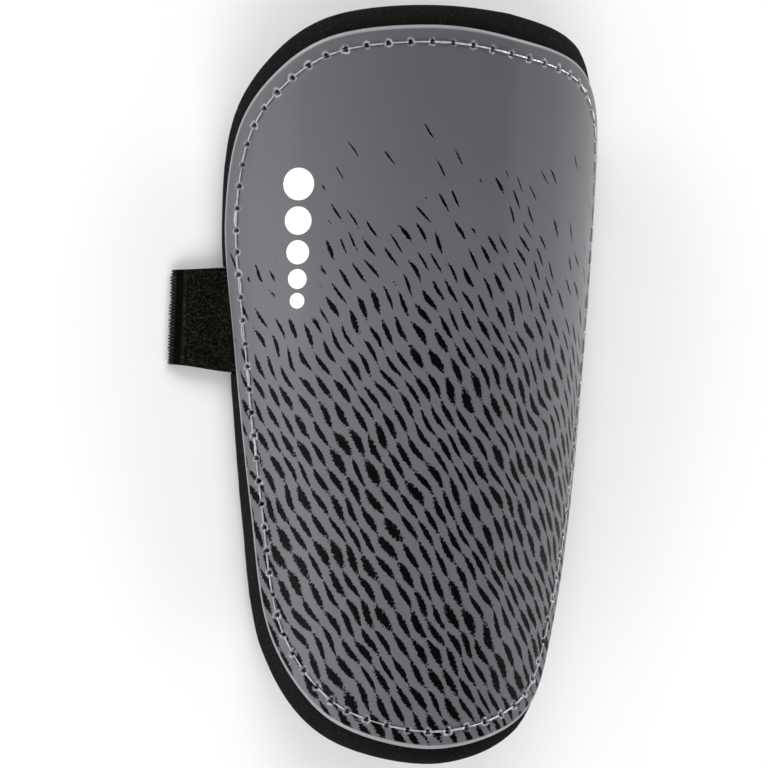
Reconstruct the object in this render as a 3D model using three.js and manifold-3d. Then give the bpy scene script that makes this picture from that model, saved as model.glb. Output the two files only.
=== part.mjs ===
// Soccer shin guard for the right leg: a hard curved shell over a thin foam pad, with one elastic strap.
// Millimetres, +Z up. It lies hollow side down on its side edges, knee end at +Y, the wearer's outside at -X.
import * as THREE from 'three';
import Module from 'manifold-3d';

// Overall sizes.
const SHELL_HALF_LENGTH = 103.3;
const KNEE_RADIUS = 68.4; // of the shell's outer face at the knee tip
const ANKLE_RADIUS = 50.5;
const HALF_WRAP = 64; // degrees from the shell's middle to its edge at the widest station
const WIDEST = 0.459; // that station, as a share of the half length
const PITCH = -0.045; // how fast the curve's centreline sinks towards the knee end

// Plates.
const SHELL_THICKNESS = 2.2;
const FOAM_THICKNESS = 5;
const BORDER = 7; // the most that the foam stands out round the shell
const GAP = 0.3;

// Strap.
const STRAP_THICKNESS = 1.3;
const STRAP_WIDTH = 30;
const UPPER_WIDTH = 28.6; // the upper layer is drawn in a little
const FOLD_WIDTH = 27;
const STRAP_ALONG = 18.4; // from the guard's middle to the strap's centreline
const UPPER_DROP = 0.5; // how far the upper layer lies towards the ankle
const FOLD_DRIFT = 0.8; // how far the fold lies towards the knee
const FOLD_SLANT = 0.6; // how far the fold reaches further at its ankle side than at its middle
const TUCK = 11; // how much of each end is held between shell and foam
const STRAP_SHOWS = 16.4; // from the shell's side edge to the outside of the fold
const FOLD_GAP = 0.5; // between the folded layers
const FOLD_RUN = 6; // straight stretch of both layers next to the fold
const LEAVE_BEND = 6; // radius where the strap turns out from under the shell
const WRAP_BEND = 1.6; // radius where it turns in round the other edge
const PANEL_THICKNESS = 1.1;
const PANEL_START = 1.2; // from the shell's edge to the facing
const PANEL_SHORT = 3; // from the fold's outside to the facing's end
const PANEL_STEPS = 12; // cuts along the facing

// Mesh fineness.
const AROUND = 112;
const CORE_RINGS = [0.9, 0.77, 0.63, 0.48, 0.33, 0.17];
const STRAP_ROWS = 6;

// The shell's outline laid flat. Along is a share of the half length. Left and right are shares of the
// half width, measured round the curve.
// The last two columns are how far the foam stands out on each side, as shares of the greatest border.
const OUTLINE = [
  { along: 0.957, left: 0.538, right: 0.25, leftBorder: 0.8, rightBorder: 0.98 },
  { along: 0.866, left: 0.755, right: 0.725, leftBorder: 0.76, rightBorder: 0.94 },
  { along: 0.717, left: 0.928, right: 0.945, leftBorder: 0.7, rightBorder: 0.82 },
  { along: WIDEST, left: 1.006, right: 1.001, leftBorder: 0.56, rightBorder: 0.7 },
  { along: 0.116, left: 0.962, right: 0.948, leftBorder: 0.68, rightBorder: 0.66 },
  { along: -0.332, left: 0.876, right: 0.783, leftBorder: 0.94, rightBorder: 0.56 },
  { along: -0.672, left: 0.784, right: 0.606, leftBorder: 1, rightBorder: 0.5 },
  { along: -0.853, left: 0.614, right: 0.476, leftBorder: 0.93, rightBorder: 0.5 },
  { along: -0.944, left: 0.443, right: 0.3, leftBorder: 0.76, rightBorder: 0.56 },
];
const KNEE_TIP = { along: 0.99, across: -0.117, leftBorder: 0.81, rightBorder: 0.81 };
const ANKLE_TIP = { along: -1.004, across: -0.076, leftBorder: 0.62, rightBorder: 0.62 };

// Edge sections from the outer face round to the inner one. Inset and depth are shares of the plate's
// thickness.
const SHELL_EDGE = [
  { inset: 0.75, depth: 0 },
  { inset: 0.3, depth: 0.1 },
  { inset: 0, depth: 0.42 },
  { inset: 0, depth: 0.8 },
  { inset: 0.2, depth: 1 },
];
const FOAM_EDGE = [
  { inset: 0.3, depth: 0 },
  { inset: 0.09, depth: 0.08 },
  { inset: 0, depth: 0.3 },
  { inset: 0, depth: 0.74 },
  { inset: 0.22, depth: 1 },
];

const SHELL_INNER = SHELL_THICKNESS;
const FOAM_OUTER = SHELL_INNER + GAP;
const STRAP_DEPTH = FOAM_OUTER + STRAP_THICKNESS / 2;

const wasm = await Module();
wasm.setup();

function radiusAt(along) {
  const share = (along + SHELL_HALF_LENGTH) / (2 * SHELL_HALF_LENGTH);
  return ANKLE_RADIUS + (KNEE_RADIUS - ANKLE_RADIUS) * share;
}

const SHELL_HALF_WIDTH = THREE.MathUtils.degToRad(HALF_WRAP) * radiusAt(WIDEST * SHELL_HALF_LENGTH);

// The flat outline as a closed loop, counter-clockwise seen from outside.
function flatOutline() {
  const left = [];
  const right = [];
  for (const row of OUTLINE) {
    const y = row.along * SHELL_HALF_LENGTH;
    left.push(new THREE.Vector3(-row.left * SHELL_HALF_WIDTH, y, 0));
    right.unshift(new THREE.Vector3(row.right * SHELL_HALF_WIDTH, y, 0));
  }
  const tip = (t) => new THREE.Vector3(t.across * SHELL_HALF_WIDTH, t.along * SHELL_HALF_LENGTH, 0);
  const loop = [tip(KNEE_TIP), ...left, tip(ANKLE_TIP), ...right];
  const curve = new THREE.CatmullRomCurve3(loop, true, 'centripetal');
  return curve.getSpacedPoints(AROUND).slice(0, AROUND).map((p) => ({ across: p.x, along: p.y }));
}

function borderAt({ across, along }) {
  const rows = [KNEE_TIP, ...OUTLINE, ANKLE_TIP];
  const column = across < KNEE_TIP.across * SHELL_HALF_WIDTH ? 'leftBorder' : 'rightBorder';
  const at = Math.min(KNEE_TIP.along, Math.max(ANKLE_TIP.along, along / SHELL_HALF_LENGTH));
  const next = Math.max(1, rows.findIndex((row) => row.along <= at));
  const [a, b] = [rows[next - 1], rows[next]];
  const share = (a.along - at) / (a.along - b.along);
  return BORDER * (a[column] + (b[column] - a[column]) * share);
}

// Moves each point of a flat loop outward by its own distance.
function grow(loop, distance) {
  return loop.map((p, i) => {
    const before = loop[(i + loop.length - 1) % loop.length];
    const after = loop[(i + 1) % loop.length];
    const across = after.along - before.along;
    const along = before.across - after.across;
    const length = Math.hypot(across, along);
    const out = distance(p);
    return { across: p.across + (out * across) / length, along: p.along + (out * along) / length };
  });
}

const shellOutline = flatOutline();
const foamOutline = grow(shellOutline, borderAt);

// Rolls a flat point up onto the tapered curve, at a depth below the shell's outer face.
function rolled(p, depth) {
  const radius = radiusAt(p.along);
  const angle = p.across / radius;
  return new THREE.Vector3(
    (radius - depth) * Math.sin(angle),
    p.along,
    (radius - depth) * Math.cos(angle) + PITCH * p.along,
  );
}

// Joins rings of equal length into a closed body whose two ends are closed by fans round a centre point.
function ringBody(rings, firstCentre, lastCentre) {
  const count = rings[0].length;
  const points = [...rings.flat(), firstCentre, lastCentre];
  const faces = [];
  for (let r = 0; r + 1 < rings.length; r += 1) {
    for (let i = 0; i < count; i += 1) {
      const j = (i + 1) % count;
      const [a, b, c, d] = [r * count + i, r * count + j, (r + 1) * count + i, (r + 1) * count + j];
      faces.push([a, c, b], [b, c, d]);
    }
  }
  const last = (rings.length - 1) * count;
  for (let i = 0; i < count; i += 1) {
    const j = (i + 1) % count;
    faces.push([points.length - 2, i, j], [points.length - 1, last + j, last + i]);
  }
  return { points, faces };
}

// A curved plate: core rings on the outer face, the edge section, then core rings on the inner face.
function plate(outline, edge, outerDepth, thickness, rim) {
  const scale = (share) => shellOutline.map((p) => ({ across: p.across * share, along: p.along * share }));
  const scaled = CORE_RINGS.map(scale);
  const innerDepth = outerDepth + thickness;
  const between = rim ? [rim] : [];
  const rings = [
    ...[...scaled].reverse().map((ring) => ring.map((p) => rolled(p, outerDepth))),
    ...between.map((ring) => ring.map((p) => rolled(p, outerDepth))),
    ...edge.map(({ inset, depth }) => (
      grow(outline, () => -inset * thickness).map((p) => rolled(p, outerDepth + depth * thickness))
    )),
    ...between.map((ring) => ring.map((p) => rolled(p, innerDepth))),
    ...scaled.map((ring) => ring.map((p) => rolled(p, innerDepth))),
  ];
  const middle = { across: 0, along: 0 };
  return ringBody(rings, rolled(middle, outerDepth), rolled(middle, innerDepth));
}

const shellBody = plate(shellOutline, SHELL_EDGE, 0, SHELL_THICKNESS);
const foamBody = plate(foamOutline, FOAM_EDGE, FOAM_OUTER, FOAM_THICKNESS, shellOutline);

// The foam's side edges lie on the floor.
const FLOOR = Math.min(...foamBody.points.map((p) => p.z));
[...shellBody.points, ...foamBody.points].forEach((p) => p.setZ(p.z - FLOOR));

// Where a loop crosses a station along the guard, on the side given by the sign.
function edgeAt(loop, along, sign) {
  let best = 0;
  loop.forEach((p, i) => {
    const q = loop[(i + 1) % loop.length];
    if ((p.along - along) * (q.along - along) > 0 || p.along === q.along) return;
    const across = p.across + ((q.across - p.across) * (along - p.along)) / (q.along - p.along);
    if (across * sign > best * sign) best = across;
  });
  return best;
}

// Rounds the corners of a path in the X-Z plane. A corner without a bend is kept as it is.
function roundedPath(corners) {
  const path = [];
  corners.forEach(({ x, z, bend }, i) => {
    const here = new THREE.Vector2(x, z);
    if (!bend) {
      path.push(here);
      return;
    }
    const back = new THREE.Vector2(corners[i - 1].x, corners[i - 1].z).sub(here).normalize();
    const ahead = new THREE.Vector2(corners[i + 1].x, corners[i + 1].z).sub(here).normalize();
    const half = Math.acos(THREE.MathUtils.clamp(back.dot(ahead), -1, 1)) / 2;
    const centre = here.clone().addScaledVector(back.clone().add(ahead).normalize(), bend / Math.sin(half));
    const from = here.clone().addScaledVector(back, bend / Math.tan(half)).sub(centre);
    const to = here.clone().addScaledVector(ahead, bend / Math.tan(half)).sub(centre);
    const turn = Math.atan2(from.x * to.y - from.y * to.x, from.dot(to));
    const steps = Math.ceil(Math.abs(turn) / 0.3);
    for (let k = 0; k <= steps; k += 1) {
      path.push(from.clone().rotateAround(new THREE.Vector2(), (turn * k) / steps).add(centre));
    }
  });
  return path;
}

// The strap's centreline at one station: out from under the shell's outer edge, folded back beneath it,
// along the floor and round the other edge into the same gap.
const FRONT_HEIGHT = STRAP_THICKNESS * 1.5 + FOLD_GAP;
const BACK_HEIGHT = STRAP_THICKNESS / 2;
const shellSide = { across: edgeAt(shellOutline, STRAP_ALONG, -1), along: STRAP_ALONG };
const FOLD_REACH = STRAP_SHOWS - rolled(shellSide, 0).x; // from the curve's centreline to the fold's outside

function strapCorners(along, grown = 0) {
  const radius = radiusAt(along);
  const reach = FOLD_REACH - (FOLD_SLANT * (along - STRAP_ALONG)) / (STRAP_WIDTH / 2);
  const degree = Math.PI / 180;
  const tuck = (TUCK + grown) / radius;
  const shellLeft = -edgeAt(shellOutline, along, -1) / radius;
  const shellRight = edgeAt(shellOutline, along, 1) / radius;
  const onCurve = (angle) => {
    const p = rolled({ across: angle * radius, along }, STRAP_DEPTH);
    return { x: p.x, z: p.z - FLOOR };
  };
  // Follows the curve's tangent down to a height.
  const downTo = (angle, height) => {
    const p = onCurve(angle);
    const fall = p.z - height;
    return { x: p.x + (Math.sign(angle) * fall) / Math.tan(Math.abs(angle)), z: height };
  };
  const leave = -(shellLeft - 0.8 * degree);
  const wrap = shellRight + 1.4 * degree;
  return {
    front: [
      onCurve(-(shellLeft - tuck)),
      onCurve(-(shellLeft - tuck * 0.55)),
      onCurve(leave + 0.15 * tuck),
      { ...downTo(leave, FRONT_HEIGHT), bend: LEAVE_BEND },
      { x: -reach + FOLD_RUN, z: FRONT_HEIGHT },
    ],
    fold: [
      { x: -reach + STRAP_THICKNESS / 2, z: FRONT_HEIGHT, bend: (FRONT_HEIGHT - BACK_HEIGHT) / 2 },
      { x: -reach + STRAP_THICKNESS / 2, z: BACK_HEIGHT, bend: (FRONT_HEIGHT - BACK_HEIGHT) / 2 },
    ],
    back: [
      { x: -reach + FOLD_RUN, z: BACK_HEIGHT },
      { x: -reach * 0.7, z: BACK_HEIGHT },
      { x: -reach * 0.4, z: BACK_HEIGHT },
      { ...downTo(wrap, BACK_HEIGHT), bend: WRAP_BEND },
      onCurve(wrap - 0.25 * tuck),
      onCurve(shellRight - tuck * 0.5),
      onCurve(shellRight - tuck),
    ],
  };
}

// The normal of a path at a point, on its left when followed forwards.
function normalAt(path, i) {
  const before = path[Math.max(0, i - 1)];
  const after = path[Math.min(path.length - 1, i + 1)];
  const way = after.clone().sub(before).normalize();
  return new THREE.Vector2(-way.y, way.x);
}

// A ribbon of even thickness. Each row across its width has its own centreline.
function ribbon(rows, thickness, offset = 0) {
  const points = [];
  const faces = [];
  const length = rows[0].path.length;
  const last = length - 1;
  for (const { path, along } of rows) {
    for (const side of [0.5, -0.5]) {
      path.forEach((p, i) => {
        const at = p.clone().addScaledVector(normalAt(path, i), offset + side * thickness);
        points.push(new THREE.Vector3(at.x, along[i], at.y));
      });
    }
  }
  const index = (row, side, i) => (row * 2 + side) * length + i;
  const quad = (a, b, c, d) => faces.push([a, c, b], [a, d, c]);
  for (let r = 0; r + 1 < rows.length; r += 1) {
    for (let i = 0; i < last; i += 1) {
      quad(index(r, 0, i), index(r + 1, 0, i), index(r + 1, 0, i + 1), index(r, 0, i + 1));
      quad(index(r, 1, i), index(r, 1, i + 1), index(r + 1, 1, i + 1), index(r + 1, 1, i));
    }
    quad(index(r, 0, 0), index(r, 1, 0), index(r + 1, 1, 0), index(r + 1, 0, 0));
    quad(index(r, 0, last), index(r + 1, 0, last), index(r + 1, 1, last), index(r, 1, last));
  }
  const end = rows.length - 1;
  for (let i = 0; i < last; i += 1) {
    quad(index(0, 0, i), index(0, 0, i + 1), index(0, 1, i + 1), index(0, 1, i));
    quad(index(end, 0, i), index(end, 1, i), index(end, 1, i + 1), index(end, 0, i + 1));
  }
  return { points, faces };
}

// Where a row of the strap runs: drawn in on the upper layer and towards the fold.
function alongAt(row, p) {
  const out = THREE.MathUtils.smoothstep(-p.x, FOLD_REACH * 0.7, FOLD_REACH);
  const upper = p.x < 0 && p.y > (FRONT_HEIGHT + BACK_HEIGHT) / 2;
  const width = THREE.MathUtils.lerp(upper ? UPPER_WIDTH : STRAP_WIDTH, FOLD_WIDTH, out);
  const centre = STRAP_ALONG + THREE.MathUtils.lerp(upper ? -UPPER_DROP : 0, FOLD_DRIFT, out);
  return centre + ((row - STRAP_ALONG) * width) / STRAP_WIDTH;
}

function strapRows(parts, grown) {
  return Array.from({ length: STRAP_ROWS + 1 }, (_, r) => {
    const row = STRAP_ALONG + ((2 * r) / STRAP_ROWS - 1) * (STRAP_WIDTH / 2 + grown);
    const corners = strapCorners(row, grown);
    const path = roundedPath(parts.flatMap((part) => corners[part]));
    return { row, path, along: path.map((p) => alongAt(row, p)) };
  });
}

// Points at even steps along a path, from a given distance to its end.
function resampled(path, from, steps) {
  const lengths = [0];
  for (let i = 1; i < path.length; i += 1) lengths.push(lengths[i - 1] + path[i].distanceTo(path[i - 1]));
  const total = lengths[path.length - 1];
  return Array.from({ length: steps + 1 }, (_, k) => {
    const at = from + ((total - from) * k) / steps;
    const i = Math.max(1, lengths.findIndex((length) => length >= at - 1e-9));
    return path[i - 1].clone().lerp(path[i], (at - lengths[i - 1]) / (lengths[i] - lengths[i - 1]));
  });
}

// The facing lies on the strap's upper layer, from the shell's edge nearly to the fold.
function panelRows() {
  return strapRows(['front'], 0).map(({ row }) => {
    const corners = strapCorners(row).front;
    corners[corners.length - 1].x += PANEL_SHORT - FOLD_RUN;
    const onStrap = TUCK * (1 - STRAP_DEPTH / radiusAt(row));
    const path = resampled(roundedPath(corners), onStrap + PANEL_START, PANEL_STEPS);
    return { path, along: path.map((p) => alongAt(row, p)) };
  });
}

function geometryOf({ points, faces }) {
  const geometry = new THREE.BufferGeometry();
  geometry.setAttribute('position', new THREE.Float32BufferAttribute(points.flatMap((p) => p.toArray()), 3));
  geometry.setIndex(faces.flat());
  return geometry;
}

function solidOf({ points, faces }) {
  const mesh = new wasm.Mesh({
    numProp: 3,
    vertProperties: new Float32Array(points.flatMap((p) => p.toArray())),
    triVerts: new Uint32Array(faces.flat()),
  });
  mesh.merge();
  return new wasm.Manifold(mesh);
}

function geometryOfSolid(solid) {
  const mesh = solid.getMesh();
  const geometry = new THREE.BufferGeometry();
  geometry.setAttribute('position', new THREE.BufferAttribute(new Float32Array(mesh.vertProperties), 3));
  geometry.setIndex(new THREE.BufferAttribute(new Uint32Array(mesh.triVerts), 1));
  return geometry;
}

// The foam gives way where the strap passes over its edges.
const frontRoom = solidOf(ribbon(strapRows(['front'], GAP), STRAP_THICKNESS + 2 * GAP));
const backRoom = solidOf(ribbon(strapRows(['back'], GAP), STRAP_THICKNESS + 2 * GAP));
const foamSolid = solidOf(foamBody).subtract(frontRoom).subtract(backRoom);

const strapBody = ribbon(strapRows(['front', 'fold', 'back'], 0), STRAP_THICKNESS);

const panelBody = ribbon(panelRows(), PANEL_THICKNESS, -(STRAP_THICKNESS + PANEL_THICKNESS) / 2 - GAP);

const group = new THREE.Group();
group.name = 'shin_guard';

function add(name, geometry, color, roughness) {
  geometry.computeVertexNormals();
  const material = new THREE.MeshStandardMaterial({ color, roughness, metalness: 0, name: `${name}_finish` });
  const mesh = new THREE.Mesh(geometry, material);
  mesh.name = name;
  group.add(mesh);
}

add('shell', geometryOf(shellBody), 0x6b6b70, 0.25);
add('foam_pad', geometryOfSolid(foamSolid), 0x1c1c1e, 0.9);
add('elastic_strap', geometryOf(strapBody), 0x101012, 0.85);
add('loop_panel', geometryOf(panelBody), 0x0c0c0e, 0.95);

// The origin is on the floor, under the middle of the whole.
const box = new THREE.Box3().setFromObject(group);
const middle = box.getCenter(new THREE.Vector3());
group.children.forEach((mesh) => mesh.geometry.translate(-middle.x, -middle.y, -box.min.z));

export default group;
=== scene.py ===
"""Looks of a right-leg soccer shin guard that lies hollow side down: a printed glossy shell, a foam pad,
edge stitches, and a ribbed elastic strap with a loop-pile facing.

Lengths are in millimetres until a mesh is made. Those of the floor and the lights are in metres.
"""

import math

import bpy
import numpy as np
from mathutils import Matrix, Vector


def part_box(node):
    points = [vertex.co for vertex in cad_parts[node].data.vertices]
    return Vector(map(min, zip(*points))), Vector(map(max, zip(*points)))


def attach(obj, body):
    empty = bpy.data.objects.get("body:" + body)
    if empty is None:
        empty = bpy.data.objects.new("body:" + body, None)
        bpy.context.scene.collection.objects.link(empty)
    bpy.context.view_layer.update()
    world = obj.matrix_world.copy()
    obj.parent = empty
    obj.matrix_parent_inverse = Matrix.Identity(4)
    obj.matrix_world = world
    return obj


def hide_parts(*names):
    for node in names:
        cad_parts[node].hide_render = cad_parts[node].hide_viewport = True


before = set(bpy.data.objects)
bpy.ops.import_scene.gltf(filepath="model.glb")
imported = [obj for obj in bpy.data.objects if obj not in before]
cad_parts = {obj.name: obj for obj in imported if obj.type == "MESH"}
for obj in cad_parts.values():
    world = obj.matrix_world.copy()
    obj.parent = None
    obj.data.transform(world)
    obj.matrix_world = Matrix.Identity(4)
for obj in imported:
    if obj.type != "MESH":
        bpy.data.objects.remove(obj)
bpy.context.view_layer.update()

# The solids' sizes, as in the part.
HALF_LENGTH = 103.3
KNEE_RADIUS, ANKLE_RADIUS = 68.4, 50.5
HALF_WRAP, WIDEST = 64.0, 0.459
PITCH = -0.045
SHELL_THICKNESS, FOAM_THICKNESS, BORDER, GAP = 2.2, 5.0, 7.0, 0.3
STRAP_THICKNESS, STRAP_WIDTH, UPPER_WIDTH, FOLD_WIDTH = 1.3, 30.0, 28.6, 27.0
STRAP_ALONG, UPPER_DROP, FOLD_DRIFT, FOLD_SLANT = 18.4, 0.5, 0.8, 0.6
TUCK, STRAP_SHOWS, FOLD_GAP, FOLD_RUN = 11.0, 16.4, 0.5, 6.0
LEAVE_BEND, WRAP_BEND = 6.0, 1.6
PANEL_THICKNESS, PANEL_START, PANEL_SHORT = 1.1, 1.2, 3.0
FOAM_OUTER = SHELL_THICKNESS + GAP
STRAP_DEPTH = FOAM_OUTER + STRAP_THICKNESS / 2

# Rows of along, left, right, left border and right border, as shares of the sizes that they follow.
OUTLINE = np.array([
    (0.957, 0.538, 0.250, 0.80, 0.98),
    (0.866, 0.755, 0.725, 0.76, 0.94),
    (0.717, 0.928, 0.945, 0.70, 0.82),
    (WIDEST, 1.006, 1.001, 0.56, 0.70),
    (0.116, 0.962, 0.948, 0.68, 0.66),
    (-0.332, 0.876, 0.783, 0.94, 0.56),
    (-0.672, 0.784, 0.606, 1.00, 0.50),
    (-0.853, 0.614, 0.476, 0.93, 0.50),
    (-0.944, 0.443, 0.300, 0.76, 0.56),
])
# Along, across and border of the two tips.
KNEE_TIP = (0.990, -0.117, 0.81)
ANKLE_TIP = (-1.004, -0.076, 0.62)

# Stitches round the shell's edge, and the columns of mesh for each on the shell and on the foam.
STITCHES = 87
STITCH_INSET = 4.85
CUTS = 24
FOAM_CUTS = 12

# The solid shell's rim as shares of its thickness, inset and depth, and the points round it.
PART_RIM = [(0.75, 0), (0.3, 0.1), (0, 0.42), (0, 0.8), (0.2, 1)]
PART_CUTS = 112

# What one unit of the flat pattern's map measures.
MAP_SPAN = 250.0

rng = np.random.default_rng(7)


def smooth(x, low, high):
    """0 up to low, 1 from high on, and an even rise between."""
    t = np.clip((x - low) / (high - low), 0, 1)
    return t * t * (3 - 2 * t)


def lattice(x, y, seed):
    """A number from 0 to 1 for each whole x and y."""
    n = np.sin(x * 127.1 + y * 311.7 + seed * 74.7) * 43758.5453
    return n - np.floor(n)


def noise(x, y, seed=0):
    """Smooth noise from -1 to 1 with features one unit across."""
    i, j = np.floor(x), np.floor(y)
    u, v = x - i, y - j
    u, v = u * u * (3 - 2 * u), v * v * (3 - 2 * v)
    low = lattice(i, j, seed) * (1 - u) + lattice(i + 1, j, seed) * u
    high = lattice(i, j + 1, seed) * (1 - u) + lattice(i + 1, j + 1, seed) * u
    return 2 * (low * (1 - v) + high * v) - 1


# The curved surface and the outlines.


def radius_at(along):
    return ANKLE_RADIUS + (KNEE_RADIUS - ANKLE_RADIUS) * (along + HALF_LENGTH) / (2 * HALF_LENGTH)


HALF_WIDTH = math.radians(HALF_WRAP) * radius_at(WIDEST * HALF_LENGTH)


def resampled(loop, count):
    """Evenly spaced points along a closed loop."""
    closed = np.vstack([loop, loop[:1]])
    at = np.concatenate([[0], np.cumsum(np.linalg.norm(np.diff(closed, axis=0), axis=1))])
    want = np.linspace(0, at[-1], count, endpoint=False)
    return np.stack([np.interp(want, at, closed[:, k]) for k in (0, 1)], 1)


def closed_spline(points, cuts=80):
    """A centripetal Catmull-Rom curve through a closed list of points."""
    out = []
    for i in range(len(points)):
        p = [points[(i + k) % len(points)] for k in (-1, 0, 1, 2)]
        d = [np.linalg.norm(p[k + 1] - p[k]) ** 0.5 for k in range(3)]
        m1 = (p[1] - p[0]) / d[0] - (p[2] - p[0]) / (d[0] + d[1]) + (p[2] - p[1]) / d[1]
        m2 = (p[2] - p[1]) / d[1] - (p[3] - p[1]) / (d[1] + d[2]) + (p[3] - p[2]) / d[2]
        s = np.linspace(0, 1, cuts, endpoint=False)[:, None]
        out.append(
            (2 * s**3 - 3 * s**2 + 1) * p[1] + (s**3 - 2 * s**2 + s) * m1 * d[1]
            + (3 * s**2 - 2 * s**3) * p[2] + (s**3 - s**2) * m2 * d[1]
        )
    return np.concatenate(out)


def outline_curve():
    size = np.array([HALF_WIDTH, HALF_LENGTH])
    left = [(-row[1], row[0]) for row in OUTLINE]
    right = [(row[2], row[0]) for row in OUTLINE[::-1]]
    points = [KNEE_TIP[1::-1], *left, ANKLE_TIP[1::-1], *right]
    return closed_spline(np.array(points) * size)


CURVE = outline_curve()


def outward(loop):
    """Unit steps out of a closed loop, one for each point."""
    way = np.roll(loop, -1, 0) - np.roll(loop, 1, 0)
    out = np.stack([way[:, 1], -way[:, 0]], 1)
    return out / np.linalg.norm(out, axis=1)[:, None]


def border_at(loop):
    """How far the foam stands out beyond each point of the shell's outline."""
    at = np.clip(loop[:, 1] / HALF_LENGTH, ANKLE_TIP[0], KNEE_TIP[0])
    knee, ankle = ((tip[0], 0, 0, tip[2], tip[2]) for tip in (KNEE_TIP, ANKLE_TIP))
    rows = np.vstack([knee, OUTLINE, ankle])[::-1]
    left, right = (np.interp(at, rows[:, 0], rows[:, k]) for k in (3, 4))
    return BORDER * np.where(loop[:, 0] < KNEE_TIP[1] * HALF_WIDTH, left, right)


def rolled(flat, depth):
    """Flat points (across, along) on the tapered curve, at a depth below the shell's outer face."""
    radius = radius_at(flat[:, 1])
    angle = flat[:, 0] / radius
    deep = radius - depth
    return np.stack([deep * np.sin(angle), flat[:, 1], deep * np.cos(angle) + PITCH * flat[:, 1]], 1)


def place_of_part():
    """Where the curve's own origin lies in the part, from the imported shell's box."""
    loop = resampled(CURVE, PART_CUTS)
    out = outward(loop) * SHELL_THICKNESS
    rings = [rolled(loop - out * inset, depth * SHELL_THICKNESS) for inset, depth in PART_RIM]
    points = np.concatenate(rings)
    low, high = (np.array(corner) * 1000 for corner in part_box("shell"))
    shift = (low + high - points.min(0) - points.max(0)) / 2
    shift[2] = high[2] - points[:, 2].max()
    return shift


SHIFT = place_of_part()


# Meshes.


def make(name, points, faces, material, replaces=(), uv=None, values=None):
    """A piece from points in millimetres, in the part's frame, and faces as lists of corner numbers."""
    mesh = bpy.data.meshes.new(name)
    sizes = np.concatenate([np.full(len(f), f.shape[1]) for f in faces])
    corners = np.concatenate([f.ravel() for f in faces]).astype(np.int32)
    starts = np.concatenate([[0], np.cumsum(sizes)[:-1]]).astype(np.int32)
    mesh.vertices.add(len(points))
    mesh.vertices.foreach_set("co", (points / 1000).astype(np.float32).ravel())
    mesh.loops.add(len(corners))
    mesh.loops.foreach_set("vertex_index", corners)
    mesh.polygons.add(len(sizes))
    mesh.polygons.foreach_set("loop_start", starts)
    mesh.polygons.foreach_set("use_smooth", np.ones(len(sizes), bool))
    if uv is not None:
        layer = mesh.uv_layers.new(name="flat")
        layer.uv.foreach_set("vector", uv[corners].astype(np.float32).ravel())
    for key, value in (values or {}).items():
        mesh.attributes.new(key, "FLOAT", "POINT").data.foreach_set("value", value.astype(np.float32))
    mesh.update()
    mesh.validate()
    mesh.materials.append(material)
    piece = bpy.data.objects.new(name, mesh)
    bpy.context.collection.objects.link(piece)
    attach(piece, "root")
    if replaces:
        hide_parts(*replaces)
    return piece


def loft(rings):
    """Quads between rings of equal length, triangles where a ring has half as many points, and a fan at each
    end. Each ring is a list of point numbers, and the first and the last are one point each."""
    quads, tris = [], []
    for a, b in zip(rings, rings[1:]):
        if len(a) == len(b):
            quads.append(np.stack([a, b, np.roll(b, -1), np.roll(a, -1)], 1))
        elif len(a) == 1:
            tris.append(np.stack([np.full(len(b), a[0]), b, np.roll(b, -1)], 1))
        elif len(b) == 1:
            tris.append(np.stack([a, np.full(len(a), b[0]), np.roll(a, -1)], 1))
        elif len(a) == 2 * len(b):
            even, odd, after = a[0::2], a[1::2], np.roll(a, -2)[0::2]
            nxt = np.roll(b, -1)
            tris += [np.stack(t, 1) for t in ((even, b, odd), (odd, b, nxt), (odd, nxt, after))]
        else:
            even, odd, after = b[0::2], b[1::2], np.roll(b, -2)[0::2]
            nxt = np.roll(a, -1)
            tris += [np.stack(t, 1) for t in ((a, even, odd), (a, odd, nxt), (nxt, odd, after))]
    return [np.concatenate(quads), np.concatenate(tris)]


def stacked(rings):
    """Numbers the points of a list of rings."""
    starts = np.cumsum([0] + [len(r) for r in rings])
    return [np.arange(starts[i], starts[i + 1]) for i in range(len(rings))]


def flat_uv(flat):
    """The flat pattern as a map, with its middle in the map's middle."""
    return flat / MAP_SPAN + 0.5


# Materials.


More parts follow.
